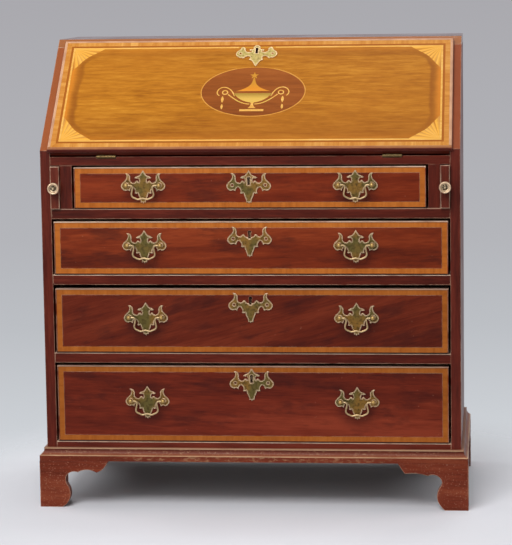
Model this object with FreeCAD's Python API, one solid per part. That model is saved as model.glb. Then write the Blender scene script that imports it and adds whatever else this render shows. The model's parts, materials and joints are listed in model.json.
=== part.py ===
import FreeCAD, Part
import math
import os

# Fall-front bureau: carcase, hinged fall with inlay, lopers, drawers, brasses and writing interior.
# Millimetres. +X is the bureau's right as seen from the front, -Y is the front, +Z is up.
# The origin is at the middle of the footprint, on the floor.

os.makedirs("parts", exist_ok=True)
Vec = FreeCAD.Vector

# Carcase
carcase_width = 914.0
carcase_depth = 460.0
side_thickness = 22.0
top_thickness = 18.0
loper_drop = 1.0
bottom_thickness = 19.0
bottom_rail_height = 13.0
back_thickness = 12.0
back_rebate = 9.0
back_board_count = 5
back_board_gap = 0.4
rail_thickness = 22.0
rail_depth = 60.0
dust_board_thickness = 10.0
interior_height = 230.0
opening_1_height = 95.0
opening_2_height = 123.0
opening_3_height = 151.0
opening_4_height = 176.0
stop_width = 50.0
stop_depth = 14.0
stop_height = 5.0
stop_inset = 130.0

# Base
foot_height = 103.0
foot_projection = 15.5
foot_width = 153.0
foot_thickness = 19.0
foot_block = 34.0
foot_block_lift = 6.0
moulding_height = 29.0
moulding_projection = 15.0

# Fall
slope_angle = 44.0
fall_inner = 10.0
fall_lip = 10.0
veneer_thickness = 1.0
lip_overlap = 5.0
lip_strip = 7.0
top_reveal = 14.5
fall_side_gap = 1.0
fall_seat_gap = 0.3
fall_hinge_gap = 4.0
fall_top_gap = 1.2
banding_width = 11.0
dark_line = 5.0
light_line = 4.0
lip_round = 3.5
fan_reach = 67.0
fan_flutes = 7
fan_hollow = 0.14
fan_steps = 3

# Oval and urn
oval_width = 233.0
oval_height = 150.0
oval_line = 2.4
oval_rise = 4.0
scroll_width = 2.6
ring_radius = 7.0
star_radius = 10.5
star_points = 5
star_waist = 0.4

# Hinges
hinge_length = 42.0
hinge_inset = 146.0
hinge_leaf = 24.0
leaf_thickness = 2.0
knuckle_radius = 3.6
knuckle_count = 5
knuckle_gap = 0.3
hinge_pin_radius = 1.5
hinge_pin_gap = 0.2

# Lopers
loper_width = 20.0
loper_gap = 0.5
loper_back_gap = 118.0
loper_proud = 9.0
loper_rest_gap = 0.4
partition_thickness = 26.0
knob_radius = 13.0
knob_length = 20.0
loper_round = 1.5

# Drawers
drawer_back_gap = 23.0
front_thickness = 20.0
drawer_side_gap = 4.6
drawer_1_top_gap = 4.0
drawer_2_top_gap = 6.0
drawer_3_top_gap = 8.5
drawer_4_top_gap = 6.5
drawer_bottom_gap = 0.5
drawer_side = 10.0
drawer_back = 10.0
drawer_bottom = 7.0
drawer_bottom_lift = 6.0
drawer_back_drop = 12.0
bead_width = 2.4
bead_proud = 1.4
bead_depth = 8.0
bead_round = 1.0
drawer_banding = 11.0
handle_spread = 231.0
handle_rise = 4.5
keyhole_drop = 43.5

# Brasses
plate_thickness = 1.6
plate_half_width = 48.5
fall_plate_half_width = 46.0
post_spread = 36.0
post_radius = 3.6
post_length = 10.0
post_head_radius = 5.2
eye_gap = 0.3
bail_radius = 2.0
bail_neck = 20.5
bail_half_width = 25.5
bail_shoulder = 23.5
bail_drop = 30.5
bail_dip = 3.0
bail_bend = 5.0
bail_corner = 8.0
keyhole_radius = 3.5
keyhole_slot = 5.6
keyhole_length = 14.0
pin_hole_radius = 2.4
fall_keyhole_drop = 45.5
lock_width = 60.0
lock_height = 40.0
lock_depth = 9.0
bolt_width = 22.0
bolt_thickness = 4.0
bolt_length = 24.0
bolt_throw = 12.0
fall_bolt_throw = 14.0
bolt_gap = 0.4

# Writing interior
case_board = 6.0
case_front_gap = 6.0
case_side_gap = 0.5
small_drawer_row = 62.0
small_drawer_count = 3
pigeonhole_count = 6
small_front = 9.0
small_side = 5.0
small_bottom = 4.0
small_gap = 0.8
small_knob_radius = 6.0
small_knob_length = 12.0

opening_heights = {1: opening_1_height, 2: opening_2_height, 3: opening_3_height, 4: opening_4_height}
top_gaps = {1: drawer_1_top_gap, 2: drawer_2_top_gap, 3: drawer_3_top_gap, 4: drawer_4_top_gap}

# Levels, from the floor up
theta = math.radians(slope_angle)
carcase_bottom = foot_height
moulding_top = foot_height + moulding_height
bottom_top = moulding_top + bottom_rail_height
drawer_floor = {4: bottom_top}
for number in (3, 2, 1):
    drawer_floor[number] = drawer_floor[number + 1] + opening_heights[number + 1] + rail_thickness
fall_thickness = fall_inner + fall_lip
writing_thickness = fall_thickness - loper_drop
writing_under = drawer_floor[1] + opening_heights[1]
writing_top = writing_under + writing_thickness
top_under = writing_top + interior_height
total_height = top_under + top_thickness
slope_foot = writing_top + fall_inner / math.cos(theta)

# Front to back
front_reach = loper_proud + knob_length
front = -(carcase_depth - front_reach) / 2
back = front + carcase_depth
back_inner = back - back_thickness
top_front = front + (total_height - slope_foot) / math.tan(theta)
drawer_depth = carcase_depth - back_thickness - drawer_back_gap
loper_length = carcase_depth - back_thickness - loper_back_gap

# Across
half_width = carcase_width / 2
inside = half_width - side_thickness
loper_slot = loper_width + 2 * loper_gap
partition_outer = inside - loper_slot
partition_inner = partition_outer - partition_thickness

# Fall, measured up the slope from the hinge line
slope_start = (slope_foot - writing_top) * math.sin(theta)
slope_end = slope_start + (total_height - slope_foot) / math.sin(theta)
fall_top = slope_end - top_reveal
fall_inner_top = (interior_height - fall_top_gap - fall_inner * math.cos(theta)) / math.sin(theta)
fall_half = inside + lip_overlap
veneer_face = fall_thickness - veneer_thickness


def box(x0, x1, y0, y1, z0, z1):
    return Part.makeBox(x1 - x0, y1 - y0, z1 - z0, Vec(x0, y0, z0))


def prism_x(points, x0, x1):
    """Extrude a closed outline of (y, z) points from x0 to x1."""
    loop = [Vec(x0, y, z) for y, z in points]
    return Part.Face(Part.makePolygon(loop + loop[:1])).extrude(Vec(x1 - x0, 0, 0))


def cylinder_x(radius, x0, x1, y, z):
    return Part.makeCylinder(radius, x1 - x0, Vec(x0, y, z), Vec(1, 0, 0))


def mirror_x(shape):
    return shape.mirror(Vec(0, 0, 0), Vec(1, 0, 0))


def both_sides(shape):
    return [shape, mirror_x(shape)]


def group(shapes):
    return Part.makeCompound(shapes)


def save(name, shape):
    shape.exportStep(f"parts/{name}.step")


def laid_on_fall(shape):
    """Move a piece drawn with X across, Y up the slope and Z outward from the inner face onto the fall."""
    placed = shape.copy()
    placed.Placement = FreeCAD.Placement(
        Vec(0, front, writing_top), FreeCAD.Rotation(Vec(1, 0, 0), slope_angle)
    ).multiply(placed.Placement)
    return placed


def upright(shape, x, y, z):
    """Stand a piece drawn with X across, Y up and Z outward against a front face at (x, y, z)."""
    placed = shape.copy()
    placed.Placement = FreeCAD.Placement(
        Vec(x, y, z), FreeCAD.Rotation(Vec(1, 0, 0), 90)
    ).multiply(placed.Placement)
    return placed


def curve(points):
    """One smooth edge through (x, y) points."""
    spline = Part.BSplineCurve()
    spline.interpolate([Vec(x, y, 0) for x, y in points])
    return spline.toShape()


def run(points):
    """A smooth edge through the points, or a straight one between two."""
    if len(points) == 2:
        return Part.makeLine(Vec(*points[0], 0), Vec(*points[1], 0))
    return curve(points)


def flat_piece(stretches, low, high):
    """A plate between two levels, its outline given as stretches that meet at sharp corners."""
    face = Part.Face(Part.Wire([run(points) for points in stretches]))
    face.translate(Vec(0, 0, low))
    return face.extrude(Vec(0, 0, high - low))


def mirrored_outline(right_stretches):
    """Close a right-hand outline, given from the top middle to the bottom middle, with its mirror image."""
    left = [[(-x, y) for x, y in reversed(points)] for points in reversed(right_stretches)]
    return right_stretches + left


def on_slope(z):
    """How far back the slope plane lies at height z."""
    return front + (z - slope_foot) / math.tan(theta)


def mortise(x, y, z):
    """The pocket over a drawer lock, from z upward, with room for the bolt all round."""
    half = bolt_width / 2 + bolt_gap
    depth = bolt_thickness / 2 + bolt_gap
    return box(x - half, x + half, y - depth, y + depth, z, z + bolt_throw)


bolt_y = front + front_thickness - lock_depth / 2
knuckle_room = knuckle_radius + knuckle_gap


def make_side():
    outline = [
        (front, carcase_bottom),
        (front, slope_foot),
        (on_slope(top_under), top_under),
        (back, top_under),
        (back, carcase_bottom),
    ]
    rebate = box(inside, inside + back_rebate, back_inner, back, carcase_bottom, top_under)
    return prism_x(outline, inside, half_width).cut(rebate)


def make_top():
    outline = [
        (on_slope(top_under), top_under),
        (top_front, total_height),
        (back, total_height),
        (back, top_under),
    ]
    return prism_x(outline, -half_width, half_width).cut(fall_keep())


def hinge_centre():
    return half_width - hinge_inset


def leaf_span(gap):
    centre = hinge_centre()
    return centre - hinge_length / 2 - gap, centre + hinge_length / 2 + gap


def make_writing_board():
    board = box(-inside, inside, front, back_inner, writing_under, writing_top)
    x0, x1 = leaf_span(0)
    recess = box(x0, x1, front, front + hinge_leaf, writing_top - leaf_thickness, writing_top)
    x0, x1 = leaf_span(knuckle_gap)
    scoop = cylinder_x(knuckle_room, x0, x1, front, writing_top)
    pockets = both_sides(recess) + both_sides(scoop)
    return board.cut(pockets + [mortise(0, bolt_y, writing_under)])


def make_back_boards():
    low = -(inside + back_rebate)
    pitch = -2 * low / back_board_count
    boards = []
    for index in range(back_board_count):
        x0 = low + index * pitch
        boards.append(box(x0, x0 + pitch - back_board_gap, back_inner, back, carcase_bottom, top_under))
    return group(boards)


def drawer_half(number):
    """Half the width of a drawer's opening."""
    return partition_inner if number == 1 else inside


def make_rails():
    low = bottom_top - bottom_thickness
    pieces = [box(-inside, inside, front, front + rail_depth, low, bottom_top)]
    for number in (1, 2, 3):
        floor = drawer_floor[number]
        rail = box(-inside, inside, front, front + rail_depth, floor - rail_thickness, floor)
        pieces.append(rail.cut(mortise(0, bolt_y, floor - rail_thickness)))
    stop_front = front + front_thickness + drawer_bottom_gap
    for number in (1, 2, 3, 4):
        floor = drawer_floor[number]
        stop = box(stop_inset, stop_inset + stop_width, stop_front, stop_front + stop_depth,
                   floor, floor + stop_height)
        pieces += both_sides(stop)
    return group(pieces)


def make_dust_boards():
    boards = []
    for number in (1, 2, 3):
        floor = drawer_floor[number]
        boards.append(box(-inside, inside, front + rail_depth, back_inner,
                          floor - dust_board_thickness, floor))
    return group(boards)


def make_partitions():
    strip = box(partition_inner, partition_outer, front, back_inner, drawer_floor[1], writing_under)
    return group(both_sides(strip))


# Base moulding as shares of its projection and height: (outward, up). Square fascia, hollow, top fillet
moulding_outline = [
    [(0, 0), (1, 0)],
    [(1, 0), (1, 0.43)],
    [(1, 0.43), (0.88, 0.46)],
    [(0.88, 0.46), (0.55, 0.6), (0.4, 0.86)],
    [(0.4, 0.86), (0.4, 1)],
    [(0.4, 1), (0, 1)],
    [(0, 1), (0, 0)],
]


def corner_region(reach, low, high, along_front):
    """The part of a base corner that belongs to the front run or to the right-hand run, cut at the mitre."""
    far = half_width + reach
    near = front - reach
    inner_x = half_width - 2 * reach
    inner_y = front + 2 * reach
    if along_front:
        points = [(-inner_x, inner_y), (-far, near), (far, near), (inner_x, inner_y)]
    else:
        points = [(inner_x, inner_y), (far, near), (far, back), (inner_x, back)]
    loop = [Vec(x, y, low) for x, y in points]
    return Part.Face(Part.makePolygon(loop + loop[:1])).extrude(Vec(0, 0, high - low))


def make_moulding():
    def section(place):
        wire = []
        for points in moulding_outline:
            spots = [place(out * moulding_projection, up * moulding_height) for out, up in points]
            if len(spots) == 2:
                wire.append(Part.makeLine(*spots))
            else:
                wire.append(Part.Arc(*spots).toShape())
        return Part.Face(Part.Wire(wire))

    reach = moulding_projection
    far = half_width + reach
    low, high = carcase_bottom, moulding_top
    front_run = section(lambda out, up: Vec(-far, front - out, low + up)).extrude(Vec(2 * far, 0, 0))
    front_run = front_run.common(corner_region(reach, low, high, True))
    side_run = section(lambda out, up: Vec(half_width + out, front - reach, low + up))
    side_run = side_run.extrude(Vec(0, carcase_depth + reach, 0))
    side_run = side_run.common(corner_region(reach, low, high, False))
    return group([front_run] + both_sides(side_run))


# Bracket outlines as shares of the foot's width and height: (inward from the corner, up from the floor)
foot_outline = [
    [(0.34, 0.0), (0.37, 0.05)],
    [(0.37, 0.05), (0.445, 0.25), (0.385, 0.54)],
    [(0.385, 0.54), (0.395, 0.68), (0.505, 0.767), (0.575, 0.74)],
    [(0.575, 0.74), (0.7, 0.785), (0.905, 0.785)],
    [(0.905, 0.785), (0.99, 0.97)],
]
left_foot_outline = [
    [(0.32, 0.0), (0.38, 0.06)],
    [(0.38, 0.06), (0.44, 0.26), (0.388, 0.515)],
    [(0.388, 0.515), (0.378, 0.62), (0.395, 0.7)],
    [(0.395, 0.7), (0.473, 0.77), (0.555, 0.76)],
    [(0.555, 0.76), (0.678, 0.814), (0.827, 0.754)],
    [(0.827, 0.754), (0.925, 0.835), (0.987, 0.98)],
]


def bracket(outline):
    """A bracket lying flat: X runs inward from the corner, Y up, Z through the thickness."""
    sized = [[(x * foot_width, y * foot_height) for x, y in points] for points in outline]
    start, end = sized[0][0], sized[-1][-1]
    border = [
        [end, (foot_width, foot_height)],
        [(foot_width, foot_height), (0, foot_height)],
        [(0, foot_height), (0, 0)],
        [(0, 0), start],
    ]
    return flat_piece(sized + border, 0, foot_thickness)


def turned(shape, x_axis, y_axis, corner):
    """Place a flat piece so that its own X and Y run along the given directions from a corner."""
    z_axis = x_axis.cross(y_axis)
    matrix = FreeCAD.Matrix(
        x_axis.x, y_axis.x, z_axis.x, corner.x,
        x_axis.y, y_axis.y, z_axis.y, corner.y,
        x_axis.z, y_axis.z, z_axis.z, corner.z,
        0, 0, 0, 1,
    )
    placed = shape.copy()
    placed.Placement = FreeCAD.Placement(matrix).multiply(placed.Placement)
    return placed


foot_face_x = half_width + foot_projection
foot_face_y = front - foot_projection
up = Vec(0, 0, 1)


def make_front_foot(front_outline):
    """Front right foot: front and side brackets mitred at the corner, with a glue block behind."""
    front_piece = turned(bracket(front_outline), Vec(-1, 0, 0), up, Vec(foot_face_x, foot_face_y, 0))
    edge_x = foot_face_x - foot_thickness
    side_piece = turned(bracket(foot_outline), Vec(0, 1, 0), up, Vec(edge_x, foot_face_y, 0))
    front_piece = front_piece.common(corner_region(foot_projection, 0, foot_height, True))
    side_piece = side_piece.common(corner_region(foot_projection, 0, foot_height, False))
    edge_y = foot_face_y + foot_thickness
    block = box(edge_x - foot_block, edge_x, edge_y, edge_y + foot_block, foot_block_lift, foot_height)
    return group([front_piece, side_piece, block])


def make_rear_foot():
    """Rear right foot: side bracket, a plain slanted brace along the back, and a glue block."""
    side_piece = turned(bracket(foot_outline), Vec(0, -1, 0), up, Vec(foot_face_x, back, 0))
    edge_x = foot_face_x - foot_thickness
    brace_width = foot_width / 2
    brace_points = [(0, 0), (brace_width / 2, 0), (brace_width, foot_height), (0, foot_height)]
    loop = [Vec(edge_x - x, back, z) for x, z in brace_points]
    brace = Part.Face(Part.makePolygon(loop + loop[:1])).extrude(Vec(0, -foot_thickness, 0))
    edge_y = back - foot_thickness
    block = box(edge_x - foot_block, edge_x, edge_y - foot_block, edge_y, foot_block_lift, foot_height)
    return group([side_piece, brace, block])


def make_carcase():
    side = make_side()
    save("right_side", side)
    save("left_side", mirror_x(side))
    save("top_board", make_top())
    save("writing_board", make_writing_board())
    save("bottom_board", box(-inside, inside, front + rail_depth, back_inner, bottom_top - bottom_thickness,
                             bottom_top))
    save("back_boards", make_back_boards())
    save("drawer_rails", make_rails())
    save("dust_boards", make_dust_boards())
    save("loper_partitions", make_partitions())
    save("base_moulding", make_moulding())
    save("front_right_foot", make_front_foot(foot_outline))
    save("front_left_foot", mirror_x(make_front_foot(left_foot_outline)))
    save("rear_right_foot", make_rear_foot())
    save("rear_left_foot", mirror_x(make_rear_foot()))


def plate(half_x, low_u, high_u, low_w, high_w):
    """A board drawn on the fall: across, up the slope and outward."""
    return box(-half_x, half_x, low_u, high_u, low_w, high_w)


def fall_frame(outer, width, low, high):
    """A rectangular frame on the fall, its outer edge a given distance in from the lip's edge."""
    def sheet(inset):
        return plate(fall_half - inset, fall_hinge_gap + inset, fall_top - inset, low, high)

    return sheet(outer).cut(sheet(outer + width))


banding_start = lip_strip
dark_start = banding_start + banding_width
light_start = dark_start + dark_line
field_start = light_start + light_line
field_half = fall_half - field_start
field_low = fall_hinge_gap + field_start
field_high = fall_top - field_start
oval_u = (field_low + field_high) / 2 + oval_rise
lock_w = lock_depth / 2


def fall_lock_space(gap):
    """The space of the lock case in the fall's inner face."""
    half = lock_width / 2 + gap
    return plate(half, fall_inner_top - lock_height - gap, fall_inner_top, 0, lock_depth + gap)


def fall_bolt(gap):
    """The fall's bolt at rest in its case, or the space for it with a gap all round."""
    half = bolt_thickness / 2 + gap
    low = fall_inner_top - bolt_length - gap
    return plate(bolt_width / 2 + gap, low, fall_inner_top - bolt_gap / 2 + gap, lock_w - half, lock_w + half)


def fall_keep():
    """The square pocket in the top board that takes the end of the fall's bolt once it is thrown."""
    thrown = fall_bolt(0)
    thrown.translate(Vec(0, fall_bolt_throw, 0))
    above = box(-half_width, half_width, front, back, top_under, total_height)
    end = laid_on_fall(thrown).common(above).BoundBox
    return box(end.XMin - bolt_gap, end.XMax + bolt_gap, end.YMin - bolt_gap, end.YMax + bolt_gap,
               top_under, end.ZMax + bolt_gap)


def make_fall_board():
    inner = plate(inside - fall_side_gap, fall_hinge_gap, fall_inner_top, 0, fall_inner + fall_seat_gap)
    outer = plate(fall_half - lip_strip, fall_hinge_gap + lip_strip, fall_top - lip_strip,
                  fall_inner + fall_seat_gap, veneer_face)
    board = inner.fuse(outer).removeSplitter()
    x0, x1 = leaf_span(0)
    recess = box(x0, x1, fall_hinge_gap, hinge_leaf, 0, leaf_thickness)
    x0, x1 = leaf_span(knuckle_gap)
    scoop = cylinder_x(knuckle_room, x0, x1, 0, 0)
    return board.cut(both_sides(recess) + both_sides(scoop) + [fall_lock_space(0), fall_keyhole()])


def make_fall_lip():
    frame = fall_frame(0, lip_strip, fall_inner + fall_seat_gap, fall_thickness)
    rim = []
    for edge in frame.Edges:
        box_of = edge.BoundBox
        on_top = box_of.ZMin > fall_thickness - fall_seat_gap
        outside = (
            box_of.XMin > fall_half - lip_strip / 2
            or box_of.XMax < -(fall_half - lip_strip / 2)
            or box_of.YMax < fall_hinge_gap + lip_strip / 2
            or box_of.YMin > fall_top - lip_strip / 2
        )
        if on_top and outside:
            rim.append(edge)
    return frame.makeFillet(lip_round, rim)


def fan_wedges(corner_x, corner_u, across, along):
    """One corner fan: flutes of equal angle that spread from the corner to a hollow curve."""
    step = math.pi / 2 / fan_flutes / fan_steps

    def spot(index):
        angle = index * step
        reach = fan_reach * (1 - fan_hollow * math.sin(2 * angle)) / (math.cos(angle) + math.sin(angle))
        return Vec(corner_x + across * reach * math.cos(angle), corner_u + along * reach * math.sin(angle), 0)

    wedges = []
    for flute in range(fan_flutes):
        first = flute * fan_steps
        loop = [Vec(corner_x, corner_u, 0)] + [spot(index) for index in range(first, first + fan_steps + 1)]
        wedge = Part.Face(Part.makePolygon(loop + loop[:1])).extrude(Vec(0, 0, veneer_thickness))
        wedge.translate(Vec(0, 0, veneer_face))
        wedges.append(wedge)
    return wedges


def make_fans():
    fans = []
    for across in (1, -1):
        for corner_u, along in ((field_low, 1), (field_high, -1)):
            fans += fan_wedges(-across * field_half, corner_u, across, along)
    return fans


def ribbon(points):
    """A narrow curved strip of even width along a few points of its centre line."""
    left, right = [], []
    for index, (x, y) in enumerate(points):
        before = points[max(index - 1, 0)]
        after = points[min(index + 1, len(points) - 1)]
        run_x, run_y = after[0] - before[0], after[1] - before[1]
        length = math.hypot(run_x, run_y)
        side_x, side_y = -run_y / length * scroll_width / 2, run_x / length * scroll_width / 2
        left.append((x + side_x, y + side_y))
        right.append((x - side_x, y - side_y))
    right.reverse()
    return flat_piece([left, [left[-1], right[0]], right, [right[-1], left[0]]], veneer_face, fall_thickness)


# The urn in millimetres about the middle of the oval: right-hand halves, top to bottom
urn_lid = [
    [(0, 42.4), (1.1, 42.4)],
    [(1.1, 42.4), (2.6, 35), (6.4, 21.6), (17.5, 10.3), (39, 1.2)],
    [(39, 1.2), (0, 1.2)],
]
urn_bowl = [
    [(0, -5), (41.5, -5)],
    [(41.5, -5), (33, -18), (20, -27.5), (4, -33)],
    [(4, -33), (2.8, -37), (3.6, -42), (9, -49.5)],
    [(9, -49.5), (0, -49.5)],
]
urn_base = [
    [(0, -53), (26.5, -53)],
    [(26.5, -53), (26.5, -58.8)],
    [(26.5, -58.8), (0, -58.8)],
]
upper_scroll = [(40, -14), (47, 1), (55.5, 10), (66, 13), (76, 7.5), (79.5, -2), (74, -12)]
lower_scroll = [(5.5, -37.5), (24, -33), (39, -23), (55, -8.5)]
ring_spot = (62, -2.5)
drop_spots = [(-13, -33), (-36.5, -52.5)]
drop_x = 66.5
drop_half = 2.0
star_u = 48.0


def lifted(points):
    return [(x, y + oval_u) for x, y in points]


def make_star():
    corners = []
    for index in range(2 * star_points):
        radius = star_radius if index % 2 == 0 else star_radius * star_waist
        angle = math.pi / 2 + math.pi * index / star_points
        corners.append((radius * math.cos(angle), oval_u + star_u + radius * math.sin(angle)))
    edges = [[corners[index - 1], corners[index]] for index in range(2 * star_points)]
    return flat_piece(edges, veneer_face, fall_thickness)


def make_urn():
    pieces = [make_star()]
    for half in (urn_lid, urn_bowl, urn_base):
        outline = mirrored_outline([lifted(points) for points in half])
        pieces.append(flat_piece(outline, veneer_face, fall_thickness))
    for scroll in (upper_scroll, lower_scroll):
        pieces += both_sides(ribbon(lifted(scroll)))
    depth = veneer_thickness
    centre = Vec(ring_spot[0], oval_u + ring_spot[1], veneer_face)
    ring = Part.makeCylinder(ring_radius, depth, centre)
    pieces += both_sides(ring.cut(Part.makeCylinder(ring_radius - scroll_width, depth, centre)))
    for high, low in drop_spots:
        outline = [
            [(drop_x, high), (drop_x + drop_half, low + 2 * drop_half), (drop_x, low)],
            [(drop_x, low), (drop_x - drop_half, low + 2 * drop_half), (drop_x, high)],
        ]
        pieces += both_sides(flat_piece([lifted(points) for points in outline], veneer_face, fall_thickness))
    return pieces


def oval(inset):
    half_x = oval_width / 2 - inset
    half_u = oval_height / 2 - inset
    ellipse = Part.Ellipse(Vec(0, oval_u, veneer_face), half_x, half_u)
    return Part.Face(Part.Wire([ellipse.toShape()])).extrude(Vec(0, 0, veneer_thickness))


def make_fall_face():
    """The veneers and inlays that lie flush in the fall's outer face."""
    urn = make_urn()
    fans = make_fans()
    keyhole = fall_keyhole()
    outline = oval(0).cut(oval(oval_line))
    light_frame = fall_frame(light_start, light_line, veneer_face, fall_thickness)
    dark_frame = fall_frame(dark_start, dark_line, veneer_face, fall_thickness)
    field = plate(field_half, field_low, field_high, veneer_face, fall_thickness)
    field = field.cut(fans + [oval(0), keyhole])
    banding = fall_frame(banding_start, banding_width, veneer_face, fall_thickness)
    panel = oval(oval_line).cut(urn)
    save("fall_field_veneer", laid_on_fall(field))
    save("fall_crossbanding", laid_on_fall(banding))
    save("fall_light_inlay", laid_on_fall(group(urn + fans + [outline, light_frame])))
    save("fall_dark_inlay", laid_on_fall(group([panel, dark_frame])))


def knuckle_slices(first):
    """Spans along X of every other knuckle of the right-hand hinge, with a gap at each end."""
    x0, x1 = leaf_span(0)
    pitch = (x1 - x0) / knuckle_count
    spans = []
    for index in range(first, knuckle_count, 2):
        spans.append((x0 + index * pitch + knuckle_gap / 2, x0 + (index + 1) * pitch - knuckle_gap / 2))
    return spans


def leaf_with_knuckles(spans, back_edge, low, high):
    """A hinge leaf drawn from the hinge line at Y 0, Z 0, with barrels on the given spans."""
    x0, x1 = leaf_span(0)
    leaf = box(x0, x1, knuckle_room + knuckle_gap, back_edge, low, high)
    pieces = [leaf]
    for start, end in spans:
        pieces.append(cylinder_x(knuckle_radius, start, end, 0, 0))
        pieces.append(box(start, end, 0, knuckle_room + knuckle_gap, low, high))
    return leaf.fuse(pieces[1:]).removeSplitter()


def make_hinges():
    x0, x1 = leaf_span(0)
    fixed = leaf_with_knuckles(knuckle_slices(0), hinge_leaf, -leaf_thickness, 0)
    pin = cylinder_x(hinge_pin_radius, x0, x1, 0, 0)
    fixed = fixed.fuse(pin).removeSplitter()
    fixed.translate(Vec(0, front, writing_top))
    save("fixed_hinge_leaves", group(both_sides(fixed)))
    moving = leaf_with_knuckles(knuckle_slices(1), hinge_leaf, 0, leaf_thickness)
    bore = cylinder_x(hinge_pin_radius + hinge_pin_gap, x0, x1, 0, 0)
    save("fall_hinge_leaves", laid_on_fall(group(both_sides(moving.cut(bore)))))


# Right-hand halves of the brass plates about the line of their posts, top to bottom: drawings that are
# scaled to the plates' half widths
plate_crest = [
    [(0, 32.5), (2.8, 28.4), (6, 23.4), (9.6, 20.2)],
    [(9.6, 20.2), (13.8, 19.2), (18.5, 15.8)],
    [(18.5, 15.8), (14.2, 14.6), (10.2, 15)],
    [(10.2, 15), (8.2, 11), (9.5, 5.5)],
]
plate_broken_top = [
    [(0, 2.5), (4.5, 3.2), (9.5, 5.5)],
]
plate_body = [
    [(9.5, 5.5), (13, 9.5), (17, 7.5)],
    [(17, 7.5), (20.5, 4.8), (24.5, 6)],
    [(24.5, 6), (28.4, 12), (28.3, 18.5), (32, 24.3), (39, 25.5)],
    [(39, 25.5), (36, 21), (38, 12.5), (44.5, 6), (48.5, -1), (46, -8.5), (38, -12)],
    [(38, -12), (33.5, -11), (29.5, -14)],
    [(29.5, -14), (27.5, -8), (23.5, -4.5), (19.6, -8), (17.6, -12.5), (18.8, -17.5)],
    [(18.8, -17.5), (14.5, -18.4), (11.2, -16.5)],
    [(11.2, -16.5), (9.6, -24), (6.2, -32), (5.4, -38.5)],
    [(5.4, -38.5), (2.6, -37.2), (0, -41)],
]


fall_plate = [
    [(0, 25.2), (4.6, 23.6), (7.2, 19.2), (7.4, 14)],
    [(7.4, 14), (11, 12.6), (15.5, 13)],
    [(15.5, 13), (16.4, 9.8), (13, 8.6)],
    [(13, 8.6), (10.6, 7.6), (12, 5.2)],
    [(12, 5.2), (17.5, 4.2), (23, 6)],
    [(23, 6), (25.4, 10.5), (26, 15.5), (29, 19), (33, 19.6)],
    [(33, 19.6), (35.4, 16.6), (37, 12), (41.6, 8), (45.6, 2), (45.2, -5), (40.5, -10.2), (35, -12.9)],
    [(35, -12.9), (31.4, -12.6), (29, -15.5)],
    [(29, -15.5), (26.6, -12.6), (23.4, -9.2), (18.5, -7.8), (14.8, -9.6), (13.2, -12.6), (14.2, -16)],
    [(14.2, -16), (15.4, -18.6), (13, -20)],
    [(13, -20), (9.6, -22.4), (6, -28), (2.8, -34.4), (0, -38.5)],
]


def brass_plate(drawing, half_width):
    """A back plate lying flat, outward along Z, about the middle of its post line."""
    scale = half_width / max(x for points in drawing for x, _ in points)
    sized = [[(x * scale, y * scale) for x, y in points] for points in drawing]
    return flat_piece(mirrored_outline(sized), 0, plate_thickness)


def keyhole(low, high):
    """A keyhole above the post line: a round head over a straight slot."""
    head = Part.makeCylinder(keyhole_radius, high - low, Vec(0, keyhole_length, low))
    slot = box(-keyhole_slot / 2, keyhole_slot / 2, 0, keyhole_length, low, high)
    return head.fuse(slot).removeSplitter()


def make_escutcheon(drawing, half_width):
    """A back plate pierced for the key, and for a pin at each wing."""
    holes = [keyhole(0, plate_thickness)]
    for x in (post_spread, -post_spread):
        holes.append(Part.makeCylinder(pin_hole_radius, plate_thickness, Vec(x, 0, 0)))
    return brass_plate(drawing, half_width).cut(holes)


fall_plate_u = fall_top - fall_keyhole_drop


def fall_keyhole():
    hole = keyhole(lock_w, fall_thickness + plate_thickness)
    hole.translate(Vec(0, fall_plate_u, 0))
    return hole


def make_fall_lock():
    case = fall_lock_space(0).cut([fall_bolt(bolt_gap), fall_keyhole()])
    escutcheon = make_escutcheon(fall_plate, fall_plate_half_width)
    escutcheon.translate(Vec(0, fall_plate_u, fall_thickness))
    save("fall_lock", laid_on_fall(group([case, escutcheon])))
    save("fall_lock_bolt", laid_on_fall(fall_bolt(0)))


def make_fall():
    save("fall_board", laid_on_fall(make_fall_board()))
    save("fall_edge_moulding", laid_on_fall(make_fall_lip()))
    make_fall_face()
    make_fall_lock()
    make_hinges()


def turned_knob(profile, radius, length):
    """Turn a profile about the Z axis."""
    loop = [Vec(out * radius, 0, along * length) for out, along in profile]
    return Part.Face(Part.makePolygon(loop + loop[:1])).revolve(Vec(0, 0, 0), Vec(0, 0, 1), 360)


# Turned knobs as shares of radius and length: (outward from the axis, along it)
loper_knob_profile = [
    (0, 0), (0.62, 0), (0.62, 0.08), (0.34, 0.16), (0.34, 0.4), (0.7, 0.5), (0.93, 0.62), (1, 0.76),
    (0.95, 0.9), (0.84, 0.97), (0.72, 0.95), (0.62, 0.78), (0.3, 0.74), (0.28, 0.92), (0.18, 1), (0, 1),
]
small_knob_profile = [(0, 0), (0.6, 0), (0.4, 0.35), (0.9, 0.55), (1, 0.75), (0.7, 0.95), (0, 1)]


loper_low = drawer_floor[1] + loper_gap
loper_high = writing_top - fall_thickness - loper_rest_gap


def make_lopers():
    x0 = partition_outer + loper_gap
    loper = box(x0, x0 + loper_width, front - loper_proud, front + loper_length, loper_low, loper_high)
    face_edges = [edge for edge in loper.Edges if edge.BoundBox.YMax < front - loper_proud / 2]
    loper = loper.makeFillet(loper_round, face_edges)
    knob = upright(turned_knob(loper_knob_profile, knob_radius, knob_length), x0 + loper_width / 2,
                   front - loper_proud, (loper_low + loper_high) / 2)
    for side, piece, handle in (("right", loper, knob), ("left", mirror_x(loper), mirror_x(knob))):
        save(f"{side}_loper", piece)
        save(f"{side}_loper_knob", handle)


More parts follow.
